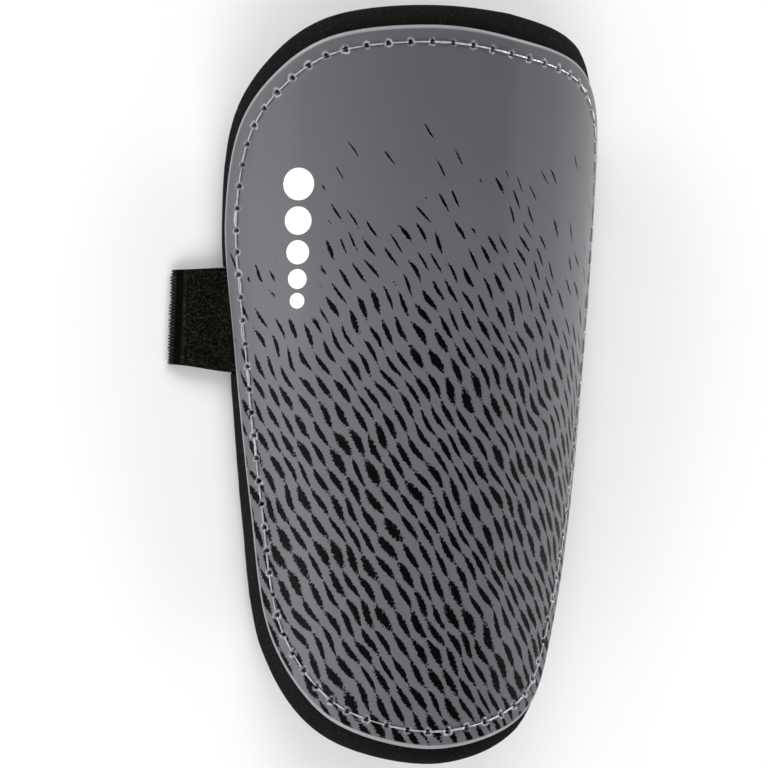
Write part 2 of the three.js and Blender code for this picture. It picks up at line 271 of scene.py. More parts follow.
class Nodes:
    """Short calls for building a node material."""

    def __init__(self, name):
        self.material = bpy.data.materials.new(name)
        self.material.use_nodes = True
        self.tree = self.material.node_tree
        self.shader = self.tree.nodes["Principled BSDF"]

    def add(self, kind, inputs=(), **settings):
        node = self.tree.nodes.new(kind)
        for key, value in settings.items():
            setattr(node, key, value)
        for key, value in dict(inputs).items():
            self.set(node.inputs[key], value)
        return node

    def set(self, socket, value):
        if isinstance(value, bpy.types.NodeSocket):
            self.tree.links.new(value, socket)
        elif socket.type == "RGBA":
            socket.default_value = (*value, 1)
        else:
            socket.default_value = value

    def math(self, operation, a, b=0.0, c=0.0, clamp=False):
        node = self.add("ShaderNodeMath", {0: a, 1: b, 2: c}, operation=operation, use_clamp=clamp)
        return node.outputs[0]

    def step(self, value, low, high, start=0.0, end=1.0):
        inputs = {0: value, 1: low, 2: high, 3: start, 4: end}
        return self.add("ShaderNodeMapRange", inputs, interpolation_type="SMOOTHSTEP").outputs[0]

    def mix(self, share, a, b, blend="MIX"):
        node = self.add("ShaderNodeMix", data_type="RGBA", blend_type=blend)
        for key, value in ((0, share), (6, a), (7, b)):
            self.set(node.inputs[key], value)
        return node.outputs[2]

    def flat(self):
        """The flat pattern's across and along, in millimetres."""
        uv = self.add("ShaderNodeUVMap", uv_map="flat").outputs[0]
        split = self.add("ShaderNodeSeparateXYZ", {0: uv})
        return tuple(self.math("MULTIPLY_ADD", split.outputs[k], MAP_SPAN, -MAP_SPAN / 2) for k in (0, 1))

    def at(self, x, y, z=0.0):
        return self.add("ShaderNodeCombineXYZ", {0: x, 1: y, 2: z}).outputs[0]

    def noise(self, where, scale, detail=2.0, rough=0.5):
        inputs = {"Vector": where, "Scale": scale, "Detail": detail, "Roughness": rough}
        return self.add("ShaderNodeTexNoise", inputs).outputs["Fac"]

    def value(self, name):
        return self.add("ShaderNodeAttribute", attribute_name=name).outputs["Fac"]

    def bump(self, height, distance, strength=1.0, normal=None):
        node = self.add("ShaderNodeBump", {"Height": height, "Distance": distance, "Strength": strength})
        if normal is not None:
            self.set(node.inputs["Normal"], normal)
        return node.outputs[0]

    def finish(self, **inputs):
        for key, value in inputs.items():
            self.set(self.shader.inputs[key.replace("_", " ")], value)
        return self.material


# Colours of the printed shell.
GREY = (0.108, 0.109, 0.118)
INK = (0.0009, 0.0009, 0.0009)
WHITE = (0.88, 0.88, 0.88)
# The rim: the clear plastic's own paleness, with a painted highlight.
RIM_PALE_AND_HIGHLIGHT = (0.235, 0.236, 0.25)
BURR_GREY = (0.48, 0.48, 0.51)
PIT_BLACK = (0.012, 0.012, 0.013)

# The clear coat's weight over the grey and over the ink.
COAT, INK_COAT = 0.44, 0.05

# Black flecks: their slant, the spacing of their lanes, and their spacing along a lane.
FLECK_SLANT = math.radians(31)
LANE_PITCH, FLECK_PITCH = 3.5, 9.5

# White dots, one under another, as radius and place along, and the softness of their edge.
DOTS = ((4.6, 57.0), (4.0, 46.6), (3.4, 37.6), (2.8, 30.0), (2.2, 23.8))
DOTS_ACROSS = -46.5
DOT_EDGE = 0.12


def flecks(n, across, along):
    """Slanted ragged flecks that grow towards the ankle."""
    ragged = n.noise(n.at(across, along), 1.5, 3.0, 0.7)
    wander = n.noise(n.at(across, along), 0.05, 1.0)
    sine, cosine = math.sin(FLECK_SLANT), math.cos(FLECK_SLANT)
    side = n.math("MULTIPLY_ADD", across, cosine, n.math("MULTIPLY", along, sine))
    run = n.math("MULTIPLY_ADD", across, -sine, n.math("MULTIPLY", along, cosine))
    side = n.math("MULTIPLY_ADD", wander, 7.0, side)
    lane = n.math("FLOOR", n.math("DIVIDE", side, LANE_PITCH))
    from_lane = n.math("SUBTRACT", n.math("FRACT", n.math("DIVIDE", side, LANE_PITCH)), 0.5)
    stagger = n.add("ShaderNodeTexWhiteNoise", {1: lane}, noise_dimensions="1D").outputs[0]
    row = n.math("ADD", n.math("DIVIDE", run, FLECK_PITCH), stagger)
    cell = n.add("ShaderNodeTexWhiteNoise", {0: n.at(lane, n.math("FLOOR", row))}, noise_dimensions="2D")
    chance = cell.outputs[0]
    other = n.add("ShaderNodeSeparateColor", {0: cell.outputs[1]}).outputs[2]
    from_row = n.math("SUBTRACT", n.math("FRACT", row), 0.5)
    # They thin out upwards past a gentle arc.
    rise = n.math("MULTIPLY_ADD", n.math("MULTIPLY", across, across), 0.006, along)
    dense = n.step(rise, 78.0, -28.0)
    varied = n.math("MULTIPLY_ADD", other, 0.45, 0.62)
    grown = n.math("MULTIPLY", varied, n.math("MULTIPLY_ADD", dense, 0.72, 0.28))
    wide = n.math("MULTIPLY", grown, 0.34)
    tall = n.math("MULTIPLY_ADD", dense, 0.2, 0.28)
    s = n.math("POWER", n.math("DIVIDE", n.math("ABSOLUTE", from_lane), wide), 1.6)
    t = n.math("POWER", n.math("DIVIDE", n.math("ABSOLUTE", from_row), tall), 1.7)
    shape = n.math("MULTIPLY_ADD", n.math("SUBTRACT", ragged, 0.5), 3.2, n.math("ADD", s, t))
    there = n.math("LESS_THAN", chance, n.step(rise, 84.0, 18.0, 0.0, 1.02))
    return n.math("MULTIPLY", n.step(shape, 1.06, 0.94), there)


def dots(n, across, along):
    white = 0.0
    for radius, dot_along in DOTS:
        inputs = {0: n.at(across, along), 1: (DOTS_ACROSS, dot_along, 0)}
        gap = n.add("ShaderNodeVectorMath", inputs, operation="DISTANCE").outputs["Value"]
        white = n.math("MAXIMUM", white, n.step(gap, radius + DOT_EDGE, radius - DOT_EDGE))
    return white


def printed_plastic():
    """A grey print with black flecks and white dots, under a glossy clear coat."""
    n = Nodes("printed_plastic")
    across, along = n.flat()
    ink = flecks(n, across, along)
    # The flecks keep clear of the dots, and stop short of the edge, where the clear plastic is paler and a
    # painted highlight lies on the rounded rim.
    near_dots = n.step(n.math("ABSOLUTE", n.math("SUBTRACT", across, DOTS_ACROSS)), 7.5, 6.5)
    above = n.step(along, 18.0, 19.5)
    ink = n.math("MULTIPLY", ink, n.math("SUBTRACT", 1.0, n.math("MULTIPLY", near_dots, above)))
    rim = n.value("rim")
    ink = n.math("MULTIPLY", ink, n.step(rim, 0.75, 0.45))
    # The grey is a little cloudy, and darker towards the knee: painted shade, where less light falls on the
    # shell.
    cloud = n.noise(n.at(across, along), 0.035, 3.0)
    deep = n.step(along, 10.0, 90.0, 1.0, 0.81)
    grey = n.mix(cloud, tuple(v * 0.93 for v in GREY), tuple(v * 1.07 for v in GREY))
    grey = n.mix(1.0, grey, n.at(deep, deep, deep), "MULTIPLY")
    colour = n.mix(ink, grey, INK)
    colour = n.mix(dots(n, across, along), colour, WHITE)
    # The rim's colour: the clear plastic's own paleness, with a painted highlight on its rounded edge.
    colour = n.mix(n.step(rim, 0.35, 0.95), colour, RIM_PALE_AND_HIGHLIGHT)
    burr = n.math("MULTIPLY", n.value("burr"), n.step(across, -30.0, 25.0, 0.62, 1.0), clamp=True)
    colour = n.mix(burr, colour, BURR_GREY)
    colour = n.mix(n.value("pit"), colour, PIT_BLACK)
    fine = n.noise(n.at(across, along), 0.22, 4.0)
    scuff = n.noise(n.at(n.math("MULTIPLY", across, 6.0), along), 0.35, 2.0)
    rough = n.math("MULTIPLY_ADD", n.step(scuff, 0.55, 0.8), 0.08, 0.3)
    rough = n.math("MULTIPLY_ADD", ink, 0.05, rough)
    coat = n.math("MULTIPLY_ADD", ink, INK_COAT - COAT, COAT)
    normal = n.bump(n.math("MULTIPLY_ADD", ink, 0.3, fine), 0.00002, 0.6)
    return n.finish(
        Base_Color=colour, Roughness=rough, Normal=normal, IOR=1.47, Specular_IOR_Level=0.06,
        Coat_Weight=coat, Coat_Roughness=0.11, Coat_IOR=1.5,
    )


def clear_thread():
    """Pale see-through nylon."""
    n = Nodes("clear_thread")
    where = n.add("ShaderNodeTexCoord").outputs["Object"]
    tone = n.noise(where, 900.0, 2.0)
    colour = n.mix(tone, (0.26, 0.26, 0.28), (0.56, 0.56, 0.58))
    return n.finish(
        Base_Color=colour, Roughness=0.26, Transmission_Weight=0.3, IOR=1.45, Specular_IOR_Level=0.5,
    )


def black_foam():
    """Matte black foam with a fine textile skin."""
    n = Nodes("black_foam")
    where = n.add("ShaderNodeTexCoord").outputs["Object"]
    grain = n.noise(where, 1900.0, 3.0, 0.7)
    speck = n.noise(where, 1300.0, 1.0)
    cloud = n.noise(where, 60.0, 3.0)
    colour = n.mix(cloud, (0.0054, 0.0054, 0.0050), (0.0086, 0.0086, 0.0080))
    colour = n.mix(n.step(speck, 0.56, 0.75), colour, (0.016, 0.016, 0.015))
    normal = n.bump(grain, 0.00022, 0.75)
    normal = n.bump(n.noise(where, 260.0, 2.0), 0.0003, 0.35, normal)
    return n.finish(
        Base_Color=colour, Roughness=0.95, Normal=normal, Specular_IOR_Level=0.04,
        Sheen_Weight=0.03, Sheen_Roughness=0.5, Sheen_Tint=(0.5, 0.5, 0.5),
    )


YARN_PITCH = 0.5  # of the fine yarn, along the tape


def ribbed_elastic():
    """Black elastic tape: cords that run along it, wound with fine yarn across."""
    n = Nodes("ribbed_elastic")
    across, along = n.flat()
    yarn = n.math("SINE", n.math("MULTIPLY", along, 2 * math.pi / YARN_PITCH))
    skew = n.math("SINE", n.math("MULTIPLY_ADD", across, 6.9, n.math("MULTIPLY", along, 5.1)))
    fuzz = n.noise(n.at(across, along), 3.2, 3.0, 0.7)
    height = n.math("ADD", n.math("MULTIPLY_ADD", yarn, 0.35, n.math("MULTIPLY", skew, 0.15)), fuzz)
    colour = n.mix(n.step(height, 0.3, 1.3), (0.0014, 0.0014, 0.0011), (0.0210, 0.0205, 0.0175))
    # Painted shade darkens the groove where the upper layer is sewn down beside the fold.
    colour = n.mix(n.math("MULTIPLY", n.value("sewn_dip_and_shade"), 0.9), colour, (0.0004, 0.0003, 0.0003))
    lit = n.math("MULTIPLY", n.value("lit"), n.step(fuzz, 0.36, 0.6, 0.25, 1.0))
    colour = n.mix(lit, colour, (0.0560, 0.0570, 0.0560))
    return n.finish(
        Base_Color=colour, Roughness=0.8, Normal=n.bump(height, 0.00012, 0.9), Specular_IOR_Level=0.06,
        Sheen_Weight=0.02, Sheen_Roughness=0.4, Sheen_Tint=(0.6, 0.6, 0.6),
    )


def loop_pile(name, dark, light):
    """Short fuzzy pile, light on dark, paler along its sewn end."""
    n = Nodes(name)
    where = n.add("ShaderNodeTexCoord").outputs["Object"]
    tuft = n.noise(where, 1500.0, 3.0, 0.75)
    patch = n.noise(where, 320.0, 3.0)
    colour = n.mix(n.step(tuft, 0.44, 0.68), dark, light)
    colour = n.mix(n.step(patch, 0.4, 0.65, 0.0, 0.6), colour, dark)
    colour = n.mix(n.math("MULTIPLY", n.value("seam"), 0.7), colour, light)
    return n.finish(
        Base_Color=colour, Roughness=0.9, Normal=n.bump(tuft, 0.0004, 0.9), Specular_IOR_Level=0.04,
        Sheen_Weight=0.02, Sheen_Roughness=0.5, Sheen_Tint=(0.5, 0.48, 0.42),
    )


PLASTIC = printed_plastic()
THREAD = clear_thread()
FOAM = black_foam()
ELASTIC = ribbed_elastic()
PILE = loop_pile("loop_pile", (0.0014, 0.0012, 0.0008), (0.0330, 0.0320, 0.0250))
TUFT = loop_pile("loop_tufts", (0.0060, 0.0056, 0.0042), (0.0900, 0.0890, 0.0740))


# The shell. Its rim is a list of inset and depth.

SHELL_LOOP = resampled(CURVE, STITCHES * CUTS)
SHELL_OUT = outward(SHELL_LOOP)
SHELL_RIM = [
    (1.65, 0.0), (1.3, 0.01), (0.95, 0.05), (0.62, 0.15), (0.34, 0.33), (0.13, 0.58), (0.02, 0.88),
    (0.0, 1.2), (0.0, 1.62), (0.08, 1.9), (0.25, 2.1), (0.5, SHELL_THICKNESS),
]
HOLE_TURN = math.pi / 2 + rng.uniform(-0.4, 0.4, STITCHES)
HOLE_SIZE = rng.uniform(0.72, 0.88, STITCHES)
BURR_TALL = rng.uniform(0.5, 1.3, STITCHES)

# The melted rim of a hole: where it lies and how wide it is, in hole sizes, and how high it stands.
BURR_REACH, BURR_WIDE, BURR_RISE = 1.34, 0.32, 0.3
PIT_DEPTH = 1.5
GROOVE_WIDE, GROOVE_DEPTH = 1.3, 0.2
WAVE = 0.05  # of the moulded face

# Insets of the rings that carry the stitches. Inside the first of them, rings shrink by a share and leave out
# columns, and so do those of the inner face.
BAND_INSETS = (8.6, 7.7, 7.0, *np.arange(6.5, 3.2, -0.25), 2.9, 2.35)
CORE_RINGS = (
    (0.07, 8), (0.14, 8), (0.22, 8), (0.3, 8), (0.38, 8), (0.46, 8), (0.54, 4), (0.61, 4), (0.68, 4),
    (0.74, 4), (0.8, 4), (0.85, 4), (0.9, 2), (0.94, 2), (0.972, 2),
)
INNER_FACE_RINGS = ((0.985, 2), (0.95, 4), (0.9, 8), (0.75, 8), (0.55, 8), (0.35, 8), (0.15, 8))


def stitch_relief(flat, inset):
    """How far the shell's face rises at each point of one ring of the stitched band: holes, their burrs, and
    the shallow groove that the stitches pull in. Also the shares of hole and burr."""
    count = len(flat)
    number = np.round(np.arange(count) / CUTS).astype(int) % STITCHES
    centre = (SHELL_LOOP - SHELL_OUT * STITCH_INSET)[number * CUTS]
    away = flat - centre
    distance = np.linalg.norm(away, axis=1)
    angle = np.arctan2(away[:, 1], away[:, 0])
    lobes = 1 + 0.2 * np.cos(3 * (angle - HOLE_TURN[number])) + 0.07 * np.cos(5 * angle + number)
    reach = distance / (HOLE_SIZE[number] * lobes)
    pit = 1 - smooth(reach, 0.5, 0.98)
    reach = distance / (HOLE_SIZE[number] * (0.55 + 0.45 * lobes))
    torn = np.clip(0.62 + 0.8 * noise(angle * 1.6 + number * 3.1, number * 1.7, 3), 0, 1.3)
    burr = np.exp(-(((reach - BURR_REACH) / BURR_WIDE) ** 2)) * BURR_TALL[number] * torn
    groove = np.exp(-(((inset - STITCH_INSET) / GROOVE_WIDE) ** 2))
    rise = BURR_RISE * burr * (1 - pit) - PIT_DEPTH * pit - GROOVE_DEPTH * groove
    return rise, smooth(pit, 0.25, 0.75), np.clip(burr * (1 - pit), 0, 1)


def shell_piece():
    rings, flats, rims, pits, burrs = [], [], [], [], []

    def ring(flat, depth, rim=0.0, pit=None, burr=None):
        rings.append(rolled(flat, depth))
        flats.append(flat)
        rims.append(np.full(len(flat), rim))
        pits.append(np.zeros(len(flat)) if pit is None else pit)
        burrs.append(np.zeros(len(flat)) if burr is None else burr)

    def wave(flat):
        return WAVE * noise(flat[:, 0] / 24, flat[:, 1] / 30, 5)

    inner = SHELL_LOOP - SHELL_OUT * BAND_INSETS[0]
    ring(np.zeros((1, 2)), 0.0)
    for share, thinned in CORE_RINGS:
        flat = inner[::thinned] * share
        ring(flat, -wave(flat))
    for inset in BAND_INSETS:
        flat = SHELL_LOOP - SHELL_OUT * inset
        rise, pit, burr = stitch_relief(flat, inset)
        ring(flat, -rise - wave(flat), 0.0, pit, burr)
    for inset, depth in SHELL_RIM:
        rim = smooth(1.9 - inset, 0.0, 1.5) * (1 - 0.5 * smooth(depth, 1.2, 2.2))
        flat = SHELL_LOOP - SHELL_OUT * inset
        ring(flat, depth - wave(flat) * (depth < 0.3), rim)
    for share, thinned in INNER_FACE_RINGS:
        ring(SHELL_LOOP[::thinned] * share, SHELL_THICKNESS, 0.3)
    ring(np.zeros((1, 2)), SHELL_THICKNESS)
    points = np.concatenate(rings) + SHIFT
    values = {"rim": rims, "pit": pits, "burr": burrs}
    values = {key: np.concatenate(parts) for key, parts in values.items()}
    uv = flat_uv(np.concatenate(flats))
    make("shell_plate", points, loft(stacked(rings)), PLASTIC, ["shell"], uv, values)


shell_piece()


def tube(paths, radius, sides=6, lumps=0.0):
    """Round threads along lists of points, as one mesh."""
    points, faces, base = [], [], 0
    turn = np.arange(sides) * 2 * math.pi / sides
    for path, thick in zip(paths, np.broadcast_to(radius, len(paths))):
        way = np.gradient(path, axis=0)
        way /= np.linalg.norm(way, axis=1)[:, None]
        up = np.cross(way, np.array([0.3, 0.2, 1.0]))
        up /= np.linalg.norm(up, axis=1)[:, None]
        side = np.cross(way, up)
        ends = np.sin(np.linspace(0.12, math.pi - 0.12, len(path))) ** 0.25
        ends = ends * (1 + lumps * noise(path[:, 0] / 0.9, path[:, 1] / 0.9, 17))
        ring = up[:, None] * np.cos(turn)[None, :, None] + side[:, None] * np.sin(turn)[None, :, None]
        points.append((path[:, None] + ring * (thick * ends)[:, None, None]).reshape(-1, 3))
        number = base + np.arange(len(path) * sides).reshape(len(path), sides)
        nxt = np.roll(number, -1, 1)
        faces.append(np.stack([number[:-1], number[1:], nxt[1:], nxt[:-1]], -1).reshape(-1, 4))
        for cap in (number[0][::-1], number[-1]):
            faces += [cap[[0, k, k + 1, k + 2]][None] for k in range(1, sides - 2, 2)]
        base += len(path) * sides
    return np.concatenate(points), faces


def stitch_paths(depth, lift, sink, loops=range(STITCHES), sway=0.0, seed=0):
    """A thread from each hole to the next: up out of one, along the face and down into the other."""
    centre = (SHELL_LOOP - SHELL_OUT * STITCH_INSET)[::CUTS]
    steps = np.linspace(0, 1, 21)
    paths = []
    for i in loops:
        a, b = centre[i], centre[(i + 1) % STITCHES]
        way = (b - a) / np.linalg.norm(b - a)
        across = np.array([-way[1], way[0]])
        bow = np.sin(steps * math.pi) * sway * (lattice(i, 3, seed) * 2 - 1)
        flat = a + (b - a) * steps[:, None] + across * bow[:, None]
        near = np.minimum(steps, 1 - steps) * np.linalg.norm(b - a)
        rise = lift * smooth(near, 0.7, 1.3) - sink * (1 - smooth(near, 0.42, 1.0))
        paths.append(rolled(flat, depth - rise) + SHIFT)
    return paths


# At some stitches the thread lies doubled. Its radius varies from loop to loop.
DOUBLED = [14, *range(17, 25)]
THREAD_RADIUS, THREAD_SPREAD = 0.21, 0.1

threads = stitch_paths(0.0, 0.16, 1.4) + stitch_paths(0.0, 0.22, 1.3, DOUBLED, sway=0.7, seed=5)
thickness = THREAD_RADIUS + THREAD_SPREAD * lattice(np.arange(len(threads)), 9, 4)
points, faces = tube(threads, thickness, sides=8, lumps=0.3)
make("edge_stitches", points, faces, THREAD)


# The foam pad. Its edge is a list of inset and depth. Under it, some rings have an inset from the shell's
# outline, and the others shrink by a share and leave out columns.

FOAM_EDGE = [
    (2.1, 0.0), (1.5, 0.03), (1.0, 0.14), (0.6, 0.34), (0.3, 0.65), (0.1, 1.05), (0.0, 1.6), (0.0, 2.4),
    (0.0, 3.2), (0.08, 3.8), (0.3, 4.3), (0.65, 4.7), (1.15, 4.93), (1.8, 5.0),
]
FOAM_TOP_RINGS = ((0.2, 4), (0.4, 4), (0.6, 4), (0.75, 2), (0.85, 2), (0.93, 1), (0.97, 1), (1.0, 1))
FOAM_BAND_INSETS = (0.0, 1.5, 2.9, 3.7, 4.2, 4.6, 5.1, 5.5, 6.0, 6.8, 8.2, 10.0)
FOAM_UNDER_RINGS = (
    (0.95, 1), (0.9, 1), (0.84, 1), (0.78, 1), (0.71, 1), (0.64, 2), (0.57, 2), (0.5, 2), (0.43, 2),
    (0.35, 4), (0.27, 4), (0.18, 4), (0.09, 4),
)


# How far the strap is drawn in on the left, over what width the foam gives way beside it, and what it keeps
# clear of the strap's run along the floor.
DRAWN_IN, SLOPE, FLOOR_CLEAR = 0.6, 0.4, 0.15

# From how far across the strap's held ends press into the foam.
HELD_FROM = HALF_WIDTH * 0.97 - TUCK - 1.5

# The stitches' pull on the foam's underside.
PULL_WIDE, PULL_DEPTH = 0.85, 0.9


def strap_stretch(flat):
    """1 where the strap crosses, 0 beside it."""
    half = STRAP_WIDTH / 2 + GAP - np.where(flat[:, 0] < 0, DRAWN_IN, 0.0)
    return smooth(half + SLOPE - np.abs(flat[:, 1] - STRAP_ALONG), 0.0, SLOPE)


def foam_piece():
    loop = resampled(CURVE, STITCHES * FOAM_CUTS)
    out = outward(loop)
    edge = loop + out * border_at(loop)[:, None]
    edge_out = outward(edge)
    rings = []

    def ring(flat, depth):
        across, along = flat.T
        grain = 0.07 * noise(across / 2.3, along / 2.3, 11) + 0.1 * noise(across / 9, along / 9, 12)
        inside = smooth(depth, 2.0, 4.5)
        under = depth + FOAM_OUTER + grain * (2 * inside - 1)
        # The upper face gives way under the strap's held ends.
        held = strap_stretch(flat) * smooth(np.abs(across), HELD_FROM - 1, HELD_FROM) * (depth < 2.0)
        under = under + held * (STRAP_THICKNESS + GAP) * np.clip(1 - depth / 2.2, 0, 1)
        at = rolled(flat, under) + SHIFT
        # The lower edges give way over the strap's run along the floor.
        rest = (STRAP_THICKNESS + GAP + FLOOR_CLEAR) * strap_stretch(flat)
        at[:, 2] = np.maximum(at[:, 2], rest)
        rings.append(at)

    ring(np.zeros((1, 2)), 0.0)
    for share, thinned in FOAM_TOP_RINGS:
        ring(loop[::thinned] * share, 0.0)
    for inset, depth in FOAM_EDGE:
        ring(edge - edge_out * inset, depth)
    for inset in FOAM_BAND_INSETS:
        flat = loop - out * inset
        pull = np.exp(-(((inset - STITCH_INSET) / PULL_WIDE) ** 2)) * PULL_DEPTH
        dimple = 1 + 0.25 * np.cos(np.arange(len(flat)) * 2 * math.pi / FOAM_CUTS)
        ring(flat, FOAM_THICKNESS - pull * dimple)
    inner = loop - out * FOAM_BAND_INSETS[-1]
    for share, thinned in FOAM_UNDER_RINGS:
        ring(inner[::thinned] * share, FOAM_THICKNESS)
    ring(np.zeros((1, 2)), FOAM_THICKNESS)
    points = np.concatenate(rings)
    foam = make("foam_backing", points, loft(stacked(rings)), FOAM, ["foam_pad"])


foam_piece()

# The lock-stitch lies in the groove that it pulls into the foam's underside.
LOCK_SUNK, LOCK_RADIUS = 0.75, 0.2

lock = stitch_paths(FOAM_OUTER + FOAM_THICKNESS - LOCK_SUNK, -0.14, -0.35)
points, faces = tube(lock, LOCK_RADIUS)
make("inside_stitches", points, faces, THREAD)


# The strap.


def edge_angle(along, sign):
    """The angle of the shell's side edge at one station."""
    side = CURVE[CURVE[:, 0] * sign > 0.5 * HALF_WIDTH]
    side = side[np.argsort(side[:, 1])]
    return abs(np.interp(along, side[:, 1], side[:, 0])) / radius_at(along)


FOLD_REACH = STRAP_SHOWS + radius_at(STRAP_ALONG) * math.sin(edge_angle(STRAP_ALONG, -1))
FRONT_HEIGHT = STRAP_THICKNESS * 1.5 + FOLD_GAP
BACK_HEIGHT = STRAP_THICKNESS / 2

# How far inside the left edge the strap leaves the curve, and how far past the right edge it meets it.
LEAVE_TURN, WRAP_TURN = math.radians(0.8), math.radians(1.4)

# Rows across the strap that have a centreline of their own, the longest step along it, its ribs, and how far
# they stand out at the fold.
STRAP_ROWS = STRAP_ALONG + np.linspace(-1, 1, 7) * STRAP_WIDTH / 2
LONGEST_STEP = 2.4
RIBS, RIB_CUTS, RIB_DEPTH = 31, 6, 0.55
FOLD_BULGE = 0.32

# How far before the map's middle the strap's map starts.
STRAP_MAP_START = 110


def strap_corners(along):
    """The strap's centreline at one station, as (x, z, bend): upper layer, fold, lower layer."""
    radius = radius_at(along)
    reach = FOLD_REACH - FOLD_SLANT * (along - STRAP_ALONG) / (STRAP_WIDTH / 2)
    tuck = TUCK / radius
    left, right = edge_angle(along, -1), edge_angle(along, 1)

    def on_curve(angle):
        x, _, z = rolled(np.array([[angle * radius, along]]), STRAP_DEPTH)[0]
        return x, z + SHIFT[2], 0.0

    def down_to(angle, height, bend):
        x, z, _ = on_curve(angle)
        return x + math.copysign((z - height) / math.tan(abs(angle)), angle), height, bend

    leave, wrap = LEAVE_TURN - left, right + WRAP_TURN
    turn = (FRONT_HEIGHT - BACK_HEIGHT) / 2
    edge = STRAP_THICKNESS / 2 - reach
    front = [
        on_curve(tuck - left), on_curve(tuck * 0.55 - left), on_curve(leave + 0.15 * tuck),
        down_to(leave, FRONT_HEIGHT, LEAVE_BEND), (FOLD_RUN - reach, FRONT_HEIGHT, 0.0),
    ]
    fold = [(edge, FRONT_HEIGHT, turn), (edge, BACK_HEIGHT, turn)]
    back = [
        (FOLD_RUN - reach, BACK_HEIGHT, 0.0), (-0.7 * FOLD_REACH, BACK_HEIGHT, 0.0),
        (-0.4 * FOLD_REACH, BACK_HEIGHT, 0.0), down_to(wrap, BACK_HEIGHT, WRAP_BEND),
        on_curve(wrap - 0.25 * tuck), on_curve(right - tuck * 0.5), on_curve(right - tuck),
    ]
    return front, fold, back


def rounded(corners, steps=10):
    """A path through corners in the X-Z plane, with an arc at each corner that has a bend."""
    path = []
    for i, (x, z, bend) in enumerate(corners):
        here = np.array([x, z])
        if not bend:
            path.append(here)
            continue

        back, ahead = (np.array(corners[k][:2]) - here for k in (i - 1, i + 1))
        back, ahead = back / np.linalg.norm(back), ahead / np.linalg.norm(ahead)
        half = math.acos(np.clip(back @ ahead, -1, 1)) / 2
        middle = (back + ahead) / np.linalg.norm(back + ahead)
        centre = here + middle * bend / math.sin(half)
        start = here + back * bend / math.tan(half) - centre
        end = here + ahead * bend / math.tan(half) - centre
        turn = math.atan2(start[0] * end[1] - start[1] * end[0], start @ end)
        for a in np.linspace(0, turn, steps + 1):
            square = np.array([-start[1], start[0]])
            path.append(centre + start * math.cos(a) + square * math.sin(a))
    return np.array(path)


def along_at(row, path):
    """Where a row of the strap runs along the guard: drawn in on the upper layer and towards the fold."""
    out = smooth(-path[:, 0], 0.7 * FOLD_REACH, FOLD_REACH)
    upper = (path[:, 0] < 0) & (path[:, 1] > (FRONT_HEIGHT + BACK_HEIGHT) / 2)
    wide = np.where(upper, UPPER_WIDTH, STRAP_WIDTH) * (1 - out) + FOLD_WIDTH * out
    centre = STRAP_ALONG - np.where(upper, UPPER_DROP, 0.0) * (1 - out) + FOLD_DRIFT * out
    return centre + (row - STRAP_ALONG) * wide / STRAP_WIDTH


def alongs_at(rows, paths):
    return np.stack([along_at(row, path) for row, path in zip(rows, paths)])


def ways_and_normals(paths):
    """The way along each path and the normal on its left, at each point."""
    way = np.gradient(paths, axis=1)
    way /= np.linalg.norm(way, axis=2)[..., None]
    return way, np.stack([-way[..., 1], way[..., 0]], -1)


def placed(at, alongs):
    """Points in the X-Z plane, put at their places along the guard, in the part's frame."""
    return np.stack([at[..., 0] + SHIFT[0], alongs + SHIFT[1], at[..., 1]], -1)


def ribbon_grid(paths, longest):
    """Cuts every row's path into the same number of short steps."""
    paths = np.array(paths)
    steps = np.ceil(np.linalg.norm(np.diff(paths, axis=1), axis=2).max(0) / longest).astype(int)
    out = []
    for i, count in enumerate(steps):
        share = np.linspace(0, 1, count, endpoint=False)[None, :, None]
        out.append(paths[:, i : i + 1] * (1 - share) + paths[:, i + 1 : i + 2] * share)
    return np.concatenate([*out, paths[:, -1:]], 1)


def finer_rows(rows, grid, want):
    """Rows in between, by straight interpolation."""
    shape = grid.shape
    table = grid.reshape(len(rows), -1)
    fine = np.stack([np.interp(want, rows, table[:, k]) for k in range(table.shape[1])], 1)
    return fine.reshape(len(want), *shape[1:])


def slab(name, paths, alongs, upper, lower, material, replaces, values, offset=0.0):
    """A ribbon from rows of paths, with a height above and below its centreline at each point."""
    _, normal = ways_and_normals(paths)
    rows, steps = paths.shape[:2]
    length = np.concatenate([[0], np.cumsum(np.linalg.norm(np.diff(paths[rows // 2], axis=0), axis=1))])
    layers, maps = [], []
    for height in (upper, -lower):
        layers.append(placed(paths + normal * (offset + height)[..., None], alongs).reshape(-1, 3))
        maps.append(np.stack([alongs, np.broadcast_to(length - STRAP_MAP_START, (rows, steps))], -1))
    points = np.concatenate(layers)
    number = np.arange(rows * steps).reshape(rows, steps)
    top, low = number, number + rows * steps

    def quads(a, b, c, d):
        return np.stack([a, b, c, d], -1).reshape(-1, 4)

    faces = [
        quads(top[:-1, :-1], top[:-1, 1:], top[1:, 1:], top[1:, :-1]),
        quads(low[:-1, :-1], low[1:, :-1], low[1:, 1:], low[:-1, 1:]),
        quads(top[0, :-1], low[0, :-1], low[0, 1:], top[0, 1:]),
        quads(top[-1, :-1], top[-1, 1:], low[-1, 1:], low[-1, :-1]),
        quads(top[:-1, 0], top[1:, 0], low[1:, 0], low[:-1, 0]),
        quads(top[:-1, -1], low[:-1, -1], low[1:, -1], top[1:, -1]),
    ]
    uv = flat_uv(np.concatenate([m.reshape(-1, 2) for m in maps]))
    both = {key: np.tile(value.ravel(), 2) for key, value in values.items()}
    return make(name, points, faces, material, replaces, uv, both), length


